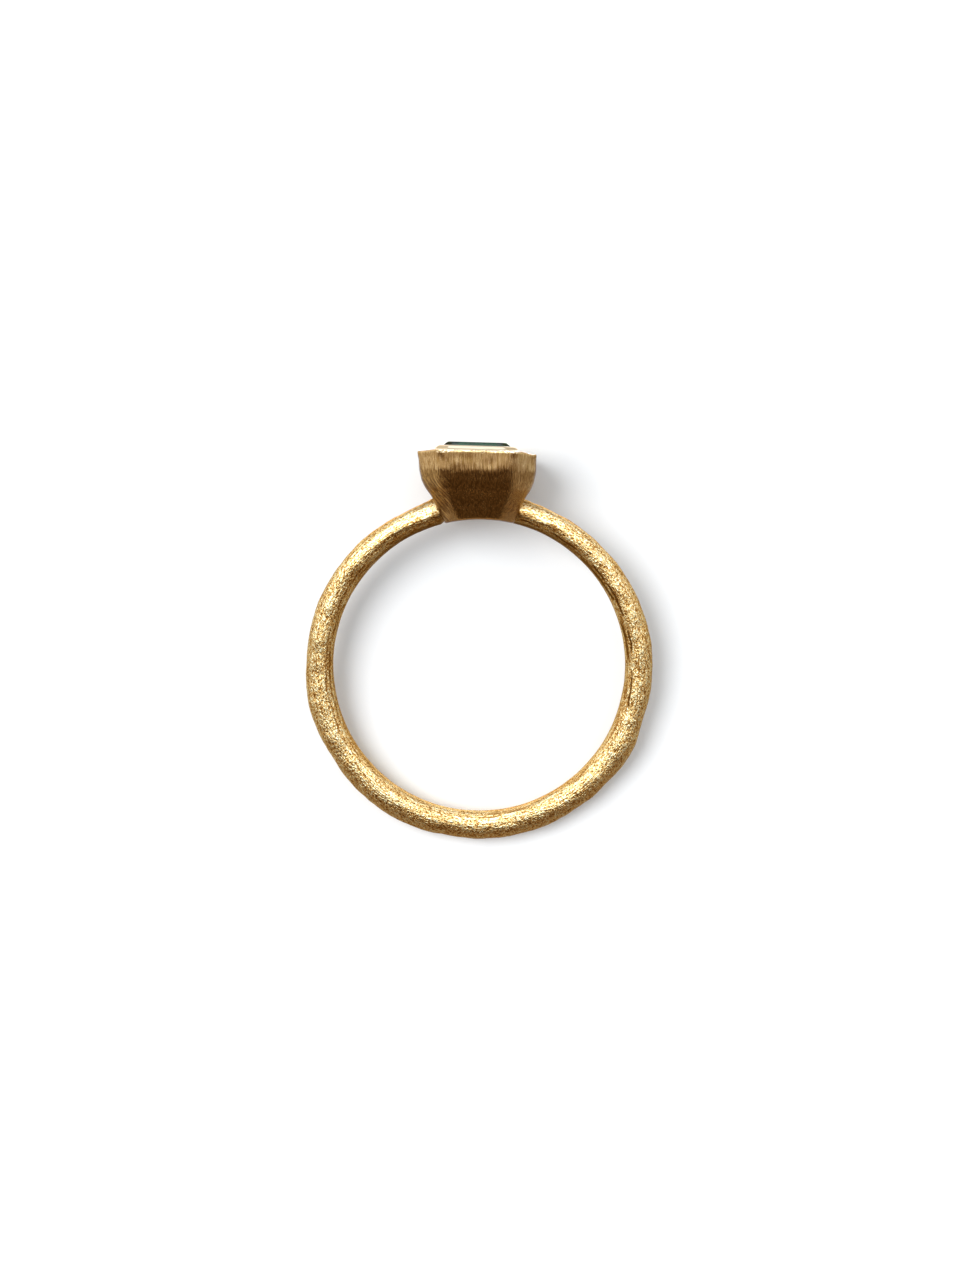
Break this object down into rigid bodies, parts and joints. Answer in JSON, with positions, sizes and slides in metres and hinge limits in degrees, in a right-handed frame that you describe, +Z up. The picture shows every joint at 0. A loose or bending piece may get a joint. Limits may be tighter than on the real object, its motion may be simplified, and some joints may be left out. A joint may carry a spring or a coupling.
{
  "type": "wire ring",
  "caption": "Finger ring lying on its side: a hammered round wire band with a tapered, eight-sided, open-backed cup holding a step-cut stone.",
  "frame": {"origin": "on the table, under the middle of the ring's box, as the ring lies on its side", "axes": "+Z up from the table, +Y from the finger towards the stone, +X across the cup"},
  "size_m": [0.0205, 0.0236, 0.0068],
  "materials": {
    "gold": "satin, brushed by hand, with a polished lip",
    "green_stone": "polished facets, dark bluish green"
  },
  "bodies": {
    "root": {"band_and_setting": "gold", "stone": "green_stone"}
  },
  "joints": []
}
